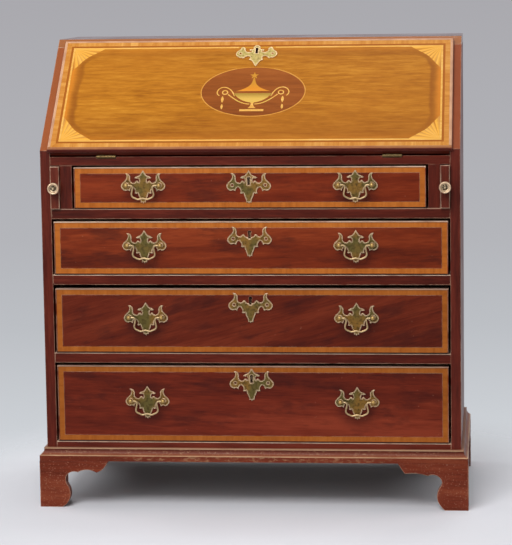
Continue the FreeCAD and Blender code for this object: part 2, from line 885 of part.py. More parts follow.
def rounded_path(points, radii):
    """Straight runs joined by tangent arcs at the inner points, in the X and Y plane."""
    spots = [Vec(x, y, 0) for x, y in points]
    edges = []
    start = spots[0]
    for index, radius in enumerate(radii, 1):
        corner = spots[index]
        to_before = (spots[index - 1] - corner).normalize()
        to_after = (spots[index + 1] - corner).normalize()
        half_turn = math.acos(to_before.dot(to_after)) / 2
        reach = radius / math.tan(half_turn)
        first = corner + to_before * reach
        last = corner + to_after * reach
        middle_way = (to_before + to_after).normalize()
        middle = corner + middle_way * (radius / math.sin(half_turn) - radius)
        edges.append(Part.makeLine(start, first))
        edges.append(Part.Arc(first, middle, last).toShape())
        start = last
    edges.append(Part.makeLine(start, spots[-1]))
    return Part.Wire(edges)


bail_axis = plate_thickness + post_length
bail_pin = post_spread + post_head_radius - bail_radius


def make_bail():
    """A swan-neck bail hanging from its posts, about the middle of the post line."""
    half = [(bail_pin, 0), (bail_neck, 0), (bail_half_width, -bail_shoulder), (bail_neck / 2, -bail_drop)]
    points = half + [(0, bail_dip - bail_drop)] + [(-x, y) for x, y in reversed(half)]
    bends = [bail_bend, bail_corner, bail_corner]
    path = rounded_path(points, bends + [bail_corner] + bends[::-1])
    section = Part.Wire([Part.Circle(Vec(bail_pin, 0, 0), Vec(-1, 0, 0), bail_radius).toShape()])
    bail = path.makePipeShell([section], True, False)
    bail.translate(Vec(0, 0, bail_axis))
    return bail


def make_handle_plate():
    """A pierced back plate with two posts, each with a round head bored for the bail."""
    pieces = [brass_plate(plate_crest + plate_body, plate_half_width)]
    hole = cylinder_x(bail_radius + eye_gap, -post_spread - post_head_radius,
                      post_spread + post_head_radius, 0, bail_axis)
    for x in (post_spread, -post_spread):
        stem = Part.makeCylinder(post_radius, post_length, Vec(x, 0, plate_thickness))
        head = Part.makeSphere(post_head_radius, Vec(x, 0, bail_axis))
        pieces.append(stem.fuse(head).cut(hole))
    return pieces


def make_drawer(number):
    half = drawer_half(number) - drawer_side_gap
    low = drawer_floor[number] + drawer_bottom_gap
    ceiling = drawer_floor[number] + opening_heights[number]
    high = ceiling - top_gaps[number]
    face_back = front + front_thickness

    def slab(inset, y0, y1):
        return box(-half + inset, half - inset, y0, y1, low + inset, high - inset)

    bead = slab(0, front - bead_proud, front + bead_depth).cut(
        slab(bead_width, front - bead_proud, front + bead_depth))
    rim = [edge for edge in bead.Edges if edge.BoundBox.YMax < front - bead_proud / 2]
    bead = bead.makeFillet(bead_round, rim)
    band_depth = front + veneer_thickness
    banding = slab(bead_width, front, band_depth).cut(slab(bead_width + drawer_banding, front, band_depth))
    lock_space = box(-lock_width / 2, lock_width / 2, face_back - lock_depth, face_back,
                     high - lock_height, high)
    plate_z = ceiling - keyhole_drop
    hole = upright(keyhole(plate_thickness - front_thickness, plate_thickness), 0, front, plate_z)
    room_depth = bolt_thickness / 2 + bolt_gap
    bolt_room = box(-bolt_width / 2 - bolt_gap, bolt_width / 2 + bolt_gap, bolt_y - room_depth,
                    bolt_y + room_depth, high - bolt_length - bolt_gap, high)
    rebate = slab(0, front, front + bead_depth).cut(slab(bead_width, front, front + bead_depth))
    board = slab(0, front, face_back).cut([rebate, banding, lock_space, hole])
    save(f"drawer_{number}_front", group([board, bead]))
    save(f"drawer_{number}_banding", banding)

    top = plate_crest if number in (1, 4) else plate_broken_top
    escutcheon = make_escutcheon(top + plate_body, plate_half_width)
    brasses = [upright(escutcheon, 0, front, plate_z), lock_space.cut([bolt_room, hole])]
    handle_z = (drawer_floor[number] + ceiling) / 2 + handle_rise
    for side, x in (("right", handle_spread), ("left", -handle_spread)):
        brasses += [upright(piece, x, front, handle_z) for piece in make_handle_plate()]
        save(f"drawer_{number}_{side}_bail", upright(make_bail(), x, front, handle_z))
    save(f"drawer_{number}_brasses", group(brasses))
    half_bolt = bolt_thickness / 2
    save(f"drawer_{number}_bolt", box(-bolt_width / 2, bolt_width / 2, bolt_y - half_bolt, bolt_y + half_bolt,
                                      high - bolt_length, high - bolt_gap / 2))

    back_end = front + drawer_depth
    bottom_low = low + drawer_bottom_lift
    bottom_high = bottom_low + drawer_bottom
    side = box(half - drawer_side, half, face_back, back_end, low, high)
    span = half - drawer_side
    bottom = box(-span, span, face_back, back_end, bottom_low, bottom_high)
    rear = box(-span, span, back_end - drawer_back, back_end, bottom_high, high - drawer_back_drop)
    save(f"drawer_{number}_box", group(both_sides(side) + [bottom, rear]))


case_half = inside - case_side_gap
case_front = front + interior_height / math.tan(theta) + case_front_gap
case_top = top_under - case_side_gap
shelf_low = writing_top + small_drawer_row


def divider_spots(count):
    """Left edges of the boards that part a row into a number of equal bays, and the bays' width."""
    bay = (2 * (case_half - case_board) - (count - 1) * case_board) / count
    first = -case_half + case_board
    return [first + index * (bay + case_board) for index in range(count)], bay


def make_pigeonholes():
    boards = both_sides(box(case_half - case_board, case_half, case_front, back_inner, writing_top, case_top))
    span = case_half - case_board
    boards.append(box(-span, span, case_front, back_inner, shelf_low, shelf_low + case_board))
    for count, low, high in (
        (small_drawer_count, writing_top, shelf_low),
        (pigeonhole_count, shelf_low + case_board, case_top),
    ):
        starts, _ = divider_spots(count)
        for start in starts[1:]:
            boards.append(box(start - case_board, start, case_front, back_inner, low, high))
    save("pigeonhole_case", group(boards))


def make_small_drawers():
    starts, bay = divider_spots(small_drawer_count)
    low = writing_top + small_gap / 2
    high = shelf_low - small_gap
    face = case_front + small_gap
    rear = back_inner - small_gap
    for index, start in enumerate(starts, 1):
        x0, x1 = start + small_gap, start + bay - small_gap
        middle = (x0 + x1) / 2
        knob = turned_knob(small_knob_profile, small_knob_radius, small_knob_length)
        knob = upright(knob, middle, face, (low + high) / 2)
        box_front = face + small_front
        pieces = [
            box(x0, x1, face, box_front, low, high),
            box(x0, x0 + small_side, box_front, rear, low, high),
            box(x1 - small_side, x1, box_front, rear, low, high),
            box(x0 + small_side, x1 - small_side, rear - small_side, rear, low, high),
            box(x0 + small_side, x1 - small_side, box_front, rear - small_side, low, low + small_bottom),
            knob,
        ]
        save(f"small_drawer_{index}", group(pieces))


make_carcase()
make_fall()
make_lopers()
for drawer_number in opening_heights:
    make_drawer(drawer_number)
make_pigeonholes()
make_small_drawers()
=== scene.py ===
import json
import math
from collections import namedtuple

import bmesh
import bpy
from mathutils import Matrix, Vector


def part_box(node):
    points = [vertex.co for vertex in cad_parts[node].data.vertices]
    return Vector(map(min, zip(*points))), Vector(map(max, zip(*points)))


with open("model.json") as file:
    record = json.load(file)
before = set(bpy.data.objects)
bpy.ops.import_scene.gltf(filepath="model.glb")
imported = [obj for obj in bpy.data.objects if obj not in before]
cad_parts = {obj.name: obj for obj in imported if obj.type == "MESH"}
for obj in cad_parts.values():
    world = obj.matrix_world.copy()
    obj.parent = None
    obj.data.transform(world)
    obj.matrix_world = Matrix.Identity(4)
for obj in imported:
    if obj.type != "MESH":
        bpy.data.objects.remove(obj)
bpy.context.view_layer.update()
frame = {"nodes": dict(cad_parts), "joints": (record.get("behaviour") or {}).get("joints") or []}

nodes = frame["nodes"]
scene = bpy.context.scene
MM = 0.001


# Node helpers

BEVEL_SAMPLES = 4

# Noise whose values between two limits are spread to others. The scale is one number, or one for each axis.
Pattern = namedtuple("Pattern", "scale detail between to rough", defaults=((0.0, 1.0), 0.55))


def linear(red, green, blue):
    """Linear colour of an 8-bit screen colour."""
    def channel(value):
        value /= 255
        return value / 12.92 if value <= 0.04045 else ((value + 0.055) / 1.055) ** 2.4

    return channel(red), channel(green), channel(blue), 1.0


class Tree:
    """A short way to write the nodes of a material or a world: a call makes a node and returns its output."""

    def __init__(self, owner):
        owner.use_nodes = True
        self.owner = owner
        self.nodes = owner.node_tree.nodes
        self.links = owner.node_tree.links

    def put(self, socket, value):
        """Link an output to a socket, or set a constant on it."""
        if isinstance(value, bpy.types.NodeSocket):
            self.links.new(value, socket)
        else:
            socket.default_value = value

    def node(self, kind, inputs=(), output=0, **settings):
        made = self.nodes.new(kind)
        for key, value in settings.items():
            setattr(made, key, value)
        for key, value in dict(inputs).items():
            self.put(made.inputs[key], value)
        return made.outputs[output]

    def coordinates(self):
        return self.node("ShaderNodeTexCoord", output="Object")

    def normal(self):
        return self.node("ShaderNodeTexCoord", output="Normal")

    def math(self, operation, first, second=0.0, third=0.0):
        return self.node("ShaderNodeMath", {0: first, 1: second, 2: third}, operation=operation)

    def times(self, first, *others):
        """Product of masks and shares."""
        for other in others:
            first = self.math("MULTIPLY", first, other)
        return first

    def split(self, vector):
        made = self.nodes.new("ShaderNodeSeparateXYZ")
        self.put(made.inputs[0], vector)
        return made.outputs[0], made.outputs[1], made.outputs[2]

    def join(self, x, y, z):
        return self.node("ShaderNodeCombineXYZ", {0: x, 1: y, 2: z})

    def vector(self, operation, first, second=(0.0, 0.0, 0.0)):
        output = "Value" if operation in ("LENGTH", "DOT_PRODUCT") else "Vector"
        return self.node("ShaderNodeVectorMath", {0: first, 1: second}, output=output, operation=operation)

    def scaled(self, vector, factor):
        return self.node("ShaderNodeVectorMath", {0: vector, "Scale": factor}, operation="SCALE")

    def mapped(self, vector, scale=(1, 1, 1), turn=(0, 0, 0)):
        return self.node("ShaderNodeMapping", {"Vector": vector, "Scale": scale, "Rotation": turn})

    def noise(self, vector, scale=1.0, detail=3.0, rough=0.55, distortion=0.0):
        return self.node("ShaderNodeTexNoise", {"Vector": vector, "Scale": scale, "Detail": detail,
                                                "Roughness": rough, "Distortion": distortion})

    def span(self, value, low, high, to_low=0.0, to_high=1.0, smooth=True):
        return self.node("ShaderNodeMapRange", {"Value": value, "From Min": low, "From Max": high,
                                                "To Min": to_low, "To Max": to_high},
                         interpolation_type="SMOOTHSTEP" if smooth else "LINEAR")

    def pattern(self, place, kind, to=None):
        scale = kind.scale
        if isinstance(scale, tuple):
            place, scale = self.mapped(place, scale), 1.0
        noise = self.noise(place, scale, kind.detail, kind.rough)
        return self.span(noise, *kind.between, *(to or kind.to))

    # The mix node has its own sockets for each kind of value, so they go by number

    def mix(self, factor, first, second, blend="MIX"):
        inputs = {0: factor, 6: first, 7: second}
        return self.node("ShaderNodeMix", inputs, output=2, data_type="RGBA", blend_type=blend)

    def mix_vectors(self, factor, first, second):
        return self.node("ShaderNodeMix", {0: factor, 4: first, 5: second}, output=1, data_type="VECTOR")

    def ramp(self, value, stops):
        made = self.nodes.new("ShaderNodeValToRGB")
        self.put(made.inputs[0], value)
        ramp = made.color_ramp
        while len(ramp.elements) < len(stops):
            ramp.elements.new(0.5)
        for element, (place, colour) in zip(ramp.elements, stops):
            element.position = place
            element.color = colour
        return made.outputs[0]

    def rounded(self, radius):
        """The surface's direction as if its edges were rounded off."""
        return self.node("ShaderNodeBevel", {"Radius": radius}, samples=BEVEL_SAMPLES)

    def bump(self, height, strength, distance, radius=0.0):
        inputs = {"Height": height, "Strength": strength, "Distance": distance}
        if radius:
            inputs["Normal"] = self.rounded(radius)
        return self.node("ShaderNodeBump", inputs)

    def edge_mask(self, radius, none, full):
        """How much the surface turns within a small distance: high along edges and mouldings."""
        normal = self.node("ShaderNodeNewGeometry", output="Normal")
        along = self.vector("DOT_PRODUCT", normal, self.rounded(radius))
        return self.span(along, none, full)

    def facing(self, direction, low, high):
        """How far the piece's own surface faces a direction, from nought at low to one at high."""
        return self.span(self.vector("DOT_PRODUCT", self.normal(), tuple(direction)), low, high)

    def finish(self, **sockets):
        """Fill the sockets of the material's shader, and return the material."""
        shader = self.nodes["Principled BSDF"]
        for key, value in sockets.items():
            self.put(shader.inputs[key.replace("_", " ")], value)
        return self.owner

    def show(self, shader, output):
        self.links.new(shader, self.nodes[output].inputs["Surface"])


def new_material(name):
    return Tree(bpy.data.materials.new(name))


# Places taken from the frame

hinge = next(joint for joint in frame["joints"] if joint["name"] == "fall_hinge")
hinge_line = Vector(hinge["pos_m"])
slope = math.pi - math.radians(hinge["range_deg"][1])
slope_facing = (0, -math.sin(slope), math.cos(slope))
field_low, field_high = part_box("fall_field_veneer")
field_half = field_high.x


def up_slope(corner):
    """Distance of a point up the fall from its hinge line."""
    return (corner.y - hinge_line.y) * math.cos(slope) + (corner.z - hinge_line.z) * math.sin(slope)


field_bottom = up_slope(field_low)
field_top = up_slope(field_high)
field_middle = (field_bottom + field_top) / 2
field_rise = (field_top - field_bottom) / 2


def fall_space(tree):
    """Coordinates on the fall: across, up from the field's middle, and outward."""
    shifted = tree.vector("SUBTRACT", tree.coordinates(), tuple(hinge_line))
    turned = tree.mapped(shifted, turn=(-slope, 0, 0))
    return tree.vector("SUBTRACT", turned, (0, field_middle, 0))


# Colours: dark, middle and light tone of each wood, then single tints

MAHOGANY = (linear(61, 18, 11), linear(94, 33, 21), linear(121, 48, 32))
DRAWER = (linear(84, 26, 12), linear(116, 41, 20), linear(142, 58, 31))
LEFT_SIDE = (linear(62, 19, 12), linear(91, 31, 20), linear(115, 46, 31))
# The right side's mahogany is a lighter copy of the left side's: painted light, making up for the less light
# that falls on it
RIGHT_SIDE_PAINTED_LIGHTER = (linear(72, 25, 18), linear(104, 40, 29), linear(129, 57, 42))
LOPER = (linear(72, 26, 19), linear(102, 40, 28), linear(126, 58, 41))
FEET = (linear(88, 32, 17), linear(118, 48, 28), linear(142, 70, 44))
LIP_EDGE = (linear(94, 33, 28), linear(121, 51, 41), linear(140, 66, 52))
INTERIOR = (linear(84, 40, 24), linear(120, 62, 36), linear(150, 86, 50))
OAK = (linear(112, 82, 50), linear(146, 112, 72), linear(172, 140, 96))
OLD_OAK = (linear(46, 33, 22), linear(64, 47, 32), linear(82, 61, 42))
SATINWOOD = (linear(145, 83, 17), linear(176, 109, 27), linear(199, 133, 43))
BANDING = (linear(186, 114, 42), linear(208, 141, 62), linear(224, 166, 88))
DRAWER_BANDING = (linear(160, 86, 29), linear(177, 99, 37), linear(190, 112, 47))
INLAY = (linear(208, 142, 54), linear(228, 170, 80), linear(242, 196, 114))
PANEL = (linear(122, 62, 22), linear(146, 78, 29), linear(164, 92, 38))

# Painted light on faces turned as the slope is: the left slope edge lighter and the right darker, as the
# light falls, and the top board's bevelled edge
LEFT_SLOPE_EDGE_PAINTED_LIGHT = linear(170, 96, 54)
RIGHT_SLOPE_EDGE_PAINTED_LIGHT = linear(152, 78, 40)
TOP_EDGE_PAINTED_LIGHT = linear(174, 108, 56)
LIP_PAINTED_HIGHLIGHT = linear(212, 164, 128)
LIP_FOOT_PAINTED_HIGHLIGHT = linear(168, 110, 66)
RUBBED_AND_HIGHLIGHT = linear(214, 172, 142)
EDGE_WEAR_AND_HIGHLIGHT = linear(244, 214, 188)
CHIPPED = linear(182, 140, 104)
GRIME_AND_SHADOW = linear(52, 18, 16)
PAINTED_SHADE_BLACK = linear(20, 12, 6)
RIM_SHADE = linear(134, 72, 20)
RIM_GLOW = linear(226, 138, 44)
AGED_VENEER = linear(178, 108, 32)
FAN_WARM = linear(241, 172, 56)
FAN_SCORCH = linear(176, 98, 28)
LID_FOOT = linear(222, 136, 32)
LID_TIP = linear(196, 132, 34)
BOWL_RIM = linear(154, 122, 46)
BOWL_FOOT = linear(218, 178, 84)
OVAL_RING = linear(198, 126, 46)
DARK_STRING = linear(164, 92, 28)


# Wood

GRAIN_SCALE = {"x": (8, 75, 75), "y": (75, 8, 75), "z": (75, 75, 8)}
PORE_SCALE = {"x": (24, 630, 630), "y": (630, 24, 630), "z": (630, 630, 24)}
WANDER_SCALE = 0.06
WANDER = 20 * MM
FLECK_SCALE = 3.2
BROAD_SCALE = 0.13
STREAK_SHARE = 0.65
FIGURE = 0.45
TONE_PLACES = (0.37, 0.5, 0.63)
PORES = {grain: Pattern(scale, 2.0, (0.56, 0.72)) for grain, scale in PORE_SCALE.items()}
PORE_SHADE = 0.45

EDGE_ROUND = 1.2 * MM
WAX_GLOSS = 0.12
WAX_COAT = 0.03
WAX_ROUGHNESS = 0.16
WOOD_BUMP = (0.18, 0.3 * MM)
VENEER_BUMP = (0.1, 0.2 * MM)
VENEER_ROUGHNESS = 0.3
HANDLED = Pattern(9.0, 3.0, (0.3, 0.7))
HANDLED_GLOSSIER, HANDLED_DULLER = 0.06, 0.1

LIT_FACING = (0.9, 0.97)
LIT_SHARE = 0.72
SPECKS = Pattern(330.0, 2.0, (0.6, 0.7))
WEAR_AND_HIGHLIGHT_REACH = 2.6 * MM
WEAR_AND_HIGHLIGHT_TURN = (0.997, 0.92)
WORN_AND_HIGHLIGHT_PATCHES = Pattern(38.0, 4.0, (0.3, 0.55))


def scale_all(values, factor):
    return tuple(value * factor for value in values)


def tinted(tone, tint):
    """A colour with each of its three channels scaled."""
    return tuple(channel * part for channel, part in zip(tone, tint)) + (1.0,)


def wood_colour(tree, vector, tones, grain, figure=FIGURE, fine=1.0):
    """Streaked wood colour and its pore mask, with the grain along one axis."""
    def layer(source, factor, **settings):
        return tree.noise(tree.mapped(source, scale_all(GRAIN_SCALE[grain], factor)), **settings)

    wander = layer(vector, WANDER_SCALE, detail=2.0)
    bent = tree.vector("ADD", vector, tree.scaled(tree.join(wander, wander, wander), WANDER))
    streaks = layer(bent, fine, detail=4.0, rough=0.62)
    flecks = layer(bent, fine * FLECK_SCALE, detail=3.0, rough=0.6)
    broad = layer(bent, BROAD_SCALE, detail=3.0, rough=0.5, distortion=0.6)
    close = tree.math("ADD", tree.times(streaks, STREAK_SHARE), tree.times(flecks, 1 - STREAK_SHARE))
    tone = tree.math("ADD", tree.times(close, 1 - figure), tree.times(broad, figure))
    colour = tree.ramp(tone, list(zip(TONE_PLACES, tones)))
    return colour, tree.pattern(bent, PORES[grain])


def polished(tree, colour, roughness, bump, coat=WAX_COAT, gloss=WAX_GLOSS):
    """A thin wax polish over a colour."""
    return tree.finish(Base_Color=colour, Roughness=roughness, Specular_IOR_Level=gloss, Coat_Weight=coat,
                       Coat_Roughness=WAX_ROUGHNESS, Normal=bump)


def polished_veneer(tree, colour, pores):
    return polished(tree, colour, VENEER_ROUGHNESS, tree.bump(pores, *VENEER_BUMP))


def wood(tree, tones, grain, vector=None, figure=FIGURE, wear=0.0, unmarked=None, stain=None, lit=None,
         speckle=0.0, pore=0.35, rough=0.34, coat=WAX_COAT, gloss=WAX_GLOSS):
    """Polished wood: streaked colour, dark pores, edges rubbed and given a painted highlight, and an uneven
    waxed gloss.

    A stain is a function that changes the colour. A lit colour is painted light: it goes on what faces as the
    slope does. Unmarked
    is a pair of heights: the edges are plain at the first and rubbed, with a painted highlight, from the
    second on.
    """
    place = tree.coordinates()
    colour, pores = wood_colour(tree, vector or place, tones, grain, figure)
    colour = tree.mix(tree.times(pores, pore), colour, scale_all(tones[0][:3], PORE_SHADE) + (1.0,))
    if stain:
        colour = stain(tree, place, colour)
    # Painted light: the lit colour goes on the faces turned as the slope is
    if lit:
        colour = tree.mix(tree.times(tree.facing(slope_facing, *LIT_FACING), LIT_SHARE), colour, lit)
    if speckle:
        colour = tree.mix(tree.times(tree.pattern(place, SPECKS), speckle), colour, RUBBED_AND_HIGHLIGHT)
    # Edges rubbed pale: wear, and partly a painted highlight along them
    if wear:
        rubbed_and_highlit = tree.edge_mask(WEAR_AND_HIGHLIGHT_REACH, *WEAR_AND_HIGHLIGHT_TURN)
        if unmarked:
            rubbed_and_highlit = tree.times(rubbed_and_highlit, tree.span(tree.split(place)[2], *unmarked))
        colour = tree.mix(tree.times(rubbed_and_highlit, tree.pattern(place, WORN_AND_HIGHLIGHT_PATCHES), wear), colour, RUBBED_AND_HIGHLIGHT)
    roughness = tree.pattern(place, HANDLED, (rough - HANDLED_GLOSSIER, rough + HANDLED_DULLER))
    return polished(tree, colour, roughness, tree.bump(pores, *WOOD_BUMP, EDGE_ROUND), coat, gloss)


# Crossbanding

BANDING_PIECE = 17 * MM
BANDING_FIGURE = {"figure": 0.3, "fine": 1.3}
BANDING_BUMP = (0.12, 0.2 * MM)
FALL_BANDING_UNEVEN = 0.5
DRAWER_BANDING_UNEVEN = 0.1
BANDING_SHADES = {1: 1.3, 2: 1.3, 3: 1.04, 4: 0.93}


def corner_mask(tree, vector, half_x, half_v):
    """One on the upright strips of a mitred frame, nought on its level strips."""
    x, v, _ = tree.split(vector)
    from_side = tree.math("SUBTRACT", half_x, tree.math("ABSOLUTE", x))
    from_end = tree.math("SUBTRACT", half_v, tree.math("ABSOLUTE", v))
    return tree.math("LESS_THAN", from_side, from_end)


def crossbanded(tree, tones, vector, half_x, half_v, uneven):
    """Crossbanding: short pieces laid side by side, with the grain square to the edge all round the frame."""
    upright = corner_mask(tree, vector, half_x, half_v)
    level_colour, level_pores = wood_colour(tree, vector, tones, "y", **BANDING_FIGURE)
    upright_colour, upright_pores = wood_colour(tree, vector, tones, "x", **BANDING_FIGURE)
    colour = tree.mix(upright, level_colour, upright_colour)
    x, v, _ = tree.split(vector)
    along = tree.math("ADD", tree.times(v, upright), tree.times(x, tree.math("SUBTRACT", 1.0, upright)))
    piece = tree.math("FLOOR", tree.math("DIVIDE", along, BANDING_PIECE))
    chance = tree.node("ShaderNodeTexWhiteNoise", {"W": piece}, noise_dimensions="1D")
    colour = tree.mix(tree.times(chance, uneven), colour, tones[0])
    pores = tree.math("MAXIMUM", level_pores, upright_pores)
    return polished(tree, colour, VENEER_ROUGHNESS, tree.bump(pores, *BANDING_BUMP))


def fall_banding_material():
    tree = new_material("fall_crossbanding")
    low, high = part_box("fall_crossbanding")
    rise = (up_slope(high) - up_slope(low)) / 2
    return crossbanded(tree, BANDING, fall_space(tree), high.x, rise, FALL_BANDING_UNEVEN)


def drawer_banding_material(number):
    tree = new_material(f"drawer_{number}_crossbanding")
    low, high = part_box(f"drawer_{number}_banding")
    middle = (low + high) / 2
    x, y, z = tree.split(tree.vector("SUBTRACT", tree.coordinates(), tuple(middle)))
    tones = [tinted(tone, (BANDING_SHADES[number],) * 3) for tone in DRAWER_BANDING]
    rise = (high.z - low.z) / 2
    return crossbanded(tree, tones, tree.join(x, z, y), high.x, rise, DRAWER_BANDING_UNEVEN)


# Field veneer of the fall. Places given as shares count from the field's middle to its edge.

FIELD_FIGURE = {"figure": 0.3, "fine": 1.9}
# Painted light and shade on the field: lighter at its left, darker toward its foot and head
LEFT_PAINTED_LIGHT = (1.1, 1.15, 1.12, 1.0)
LEFT_LIGHT_SPAN = (0.3, -0.7)
HEAD_AND_FOOT_PAINTED_SHADE = (0.78, 0.72, 0.76, 1.0)
FOOT_SHADE_SPAN = (-0.2, -1.0)
HEAD_SHADE_SPAN = (0.4, 1.0)
HEAD_SHADE_SHARE = 0.5
RIM_CORNER = 66 * MM
RIM_START = 2 * MM
RIM_PLACE = 21 * MM
RIM_FADE = 7 * MM
RIM_RAGGED = 16 * MM
RIM_RAGGED_SCALE = 24.0
RIM_LEAST = 0.12
RIM_MIDDLE, RIM_ENDS = 0.25, 0.85
VENEER_AGE = Pattern(3.2, 3.0, (0.38, 0.68), (0.0, 0.35))
CUT_WALL_SHADE_FACING = (0.9, 0.4)


def uneven_light(tree, place, colour):
    """Painted light on the veneer's left and painted shade toward its foot and head."""
    across, up, _ = tree.split(place)
    to_left = tree.span(across, *scale_all(LEFT_LIGHT_SPAN, field_half))
    colour = tree.mix(to_left, colour, LEFT_PAINTED_LIGHT, "MULTIPLY")
    to_foot = tree.span(up, *scale_all(FOOT_SHADE_SPAN, field_rise))
    to_head = tree.span(up, *scale_all(HEAD_SHADE_SPAN, field_rise), 0.0, HEAD_SHADE_SHARE)
    return tree.mix(tree.math("ADD", to_foot, to_head), colour, HEAD_AND_FOOT_PAINTED_SHADE, "MULTIPLY")


def shaded_rim(tree, place, colour):
    """A rim along a rounded border, glowing at the edge and shaded farther in, most at the two ends."""
    size = (field_half - RIM_CORNER, field_rise - RIM_CORNER, 0)
    outside = tree.vector("SUBTRACT", tree.vector("ABSOLUTE", place), size)
    x, v, _ = tree.split(tree.vector("MAXIMUM", outside, (0, 0, 0)))
    from_edge = tree.math("SUBTRACT", RIM_CORNER, tree.vector("LENGTH", tree.join(x, v, 0.0)))
    uneven = tree.math("SUBTRACT", tree.noise(place, RIM_RAGGED_SCALE), 0.5)
    ragged = tree.math("MULTIPLY_ADD", uneven, RIM_RAGGED, from_edge)
    inner = tree.span(ragged, RIM_PLACE + RIM_FADE, RIM_PLACE)
    at_ends = tree.span(x, 0.0, RIM_CORNER, RIM_MIDDLE, RIM_ENDS)
    glow = tree.times(inner, tree.span(ragged, RIM_PLACE, 0.0), at_ends)
    colour = tree.mix(glow, colour, RIM_GLOW)
    rising = tree.span(ragged, RIM_START, RIM_PLACE, RIM_LEAST, 1.0)
    return tree.mix(tree.times(inner, rising, at_ends), colour, RIM_SHADE)


def fall_field_material():
    """Golden straight-grained veneer with a shaded rim, and painted shade, near black, on the walls cut
    through it.
    """
    tree = new_material("satinwood_field")
    place = fall_space(tree)
    colour, pores = wood_colour(tree, place, SATINWOOD, "x", **FIELD_FIGURE)
    colour = uneven_light(tree, place, colour)
    colour = shaded_rim(tree, place, colour)
    colour = tree.mix(tree.pattern(place, VENEER_AGE), colour, AGED_VENEER)
    # Painted shade: the walls cut through the veneer are painted near black
    colour = tree.mix(tree.facing(slope_facing, *CUT_WALL_SHADE_FACING), colour, PAINTED_SHADE_BLACK)
    return polished_veneer(tree, colour, pores)


# Inlays of the fall. Heights on the urn count from the oval's middle.

INLAY_FIGURE = {"figure": 0.3, "fine": 1.5}
ISLAND_SHARE = 0.25
FAN_FLUTES = 7
FAN_RADIUS = 71 * MM
FAN_WARMTH = 0.7
FLUTE_SHADE = (0.2, 1.0)
FLUTE_NEAR, FLUTE_FAR = 0.35, 0.95
OVAL_RISE = 4 * MM
OVAL_HALF = (116.5 * MM, 75 * MM, 1.0)
RING_INSIDE = (0.93, 0.95)
RING_OUTSIDE = (1.08, 1.06)
RING_SHARE = 0.6
URN_SIDE = (42 * MM, 41 * MM)
URN_SHARE = 0.85
LID_STARTS = (0.0, 1 * MM)
LID_BLEND = (2 * MM, 30 * MM)
BOWL_STARTS = (-2 * MM, -4 * MM)
BOWL_ENDS = (-34 * MM, -32 * MM)
BOWL_BLEND = (-5 * MM, -24 * MM)
PANEL_FIGURE = {"figure": 0.5, "fine": 1.2}
BESIDE_PANEL = (200 * MM, 210 * MM)
ABOVE_PANEL = (100 * MM, 110 * MM)


def fan_stain(tree, place, colour):
    """Warm corner fans with sand-shaded flutes."""
    corner = (field_half, field_rise, 0)
    x, v, _ = tree.split(tree.vector("SUBTRACT", corner, tree.vector("ABSOLUTE", place)))
    reach = tree.vector("LENGTH", tree.join(x, v, 0.0))
    inside = tree.times(tree.math("GREATER_THAN", x, 0.0), tree.math("GREATER_THAN", v, 0.0))
    in_fan = tree.times(tree.math("LESS_THAN", reach, FAN_RADIUS), inside)
    colour = tree.mix(tree.times(in_fan, FAN_WARMTH), colour, FAN_WARM)
    angle = tree.math("ARCTAN2", v, x)
    flute = tree.math("FRACT", tree.times(angle, FAN_FLUTES / (math.pi / 2)))
    shade = tree.span(flute, *FLUTE_SHADE)
    outward = tree.span(reach, 0.0, FAN_RADIUS, FLUTE_NEAR, FLUTE_FAR)
    return tree.mix(tree.times(shade, in_fan, outward), colour, FAN_SCORCH)


def urn_stain(tree, place, colour):
    """The urn's warm lid and greener bowl, and the ring round the oval."""
    across, rise, _ = tree.split(tree.vector("SUBTRACT", place, (0, OVAL_RISE, 0)))
    on_urn = tree.span(tree.math("ABSOLUTE", across), *URN_SIDE)
    lid = tree.times(tree.span(rise, *LID_STARTS), on_urn)
    lid_colour = tree.mix(tree.span(rise, *LID_BLEND), LID_FOOT, LID_TIP)
    colour = tree.mix(tree.times(lid, URN_SHARE), colour, lid_colour)
    bowl = tree.times(tree.span(rise, *BOWL_STARTS), tree.span(rise, *BOWL_ENDS), on_urn)
    bowl_colour = tree.mix(tree.span(rise, *BOWL_BLEND), BOWL_RIM, BOWL_FOOT)
    colour = tree.mix(tree.times(bowl, URN_SHARE), colour, bowl_colour)
    from_middle = tree.vector("LENGTH", tree.vector("DIVIDE", tree.join(across, rise, 0.0), OVAL_HALF))
    ring = tree.times(tree.span(from_middle, *RING_INSIDE), tree.span(from_middle, *RING_OUTSIDE))
    return tree.mix(tree.times(ring, RING_SHARE), colour, OVAL_RING)


def light_inlay_material():
    """Pale inlay, with each piece of it a little different."""
    tree = new_material("light_inlay")
    place = fall_space(tree)
    colour, pores = wood_colour(tree, place, INLAY, "x", **INLAY_FIGURE)
    colour = fan_stain(tree, place, colour)
    island = tree.node("ShaderNodeNewGeometry", output="Random Per Island")
    colour = tree.mix(tree.times(island, ISLAND_SHARE), colour, INLAY[2])
    colour = urn_stain(tree, place, colour)
    return polished_veneer(tree, colour, pores)


def dark_inlay_material():
    """Red-brown oval panel and the dark line inside the crossbanding."""
    tree = new_material("dark_inlay")
    place = fall_space(tree)
    colour, pores = wood_colour(tree, place, PANEL, "x", **PANEL_FIGURE)
    x, v, _ = tree.split(tree.vector("ABSOLUTE", place))
    outer = tree.math("MAXIMUM", tree.span(x, *BESIDE_PANEL), tree.span(v, *ABOVE_PANEL))
    colour = tree.mix(outer, colour, DARK_STRING)
    return polished_veneer(tree, colour, pores)


LIP_HIGHLIGHT_FACING = (0.5, 0.85)
LIP_FOOT_HIGHLIGHT_STARTS = (17 * MM, 20 * MM)
LIP_HIGHLIGHT_PATCHES = Pattern(22.0, 2.0, (0.3, 0.65), (0.6, 0.95))


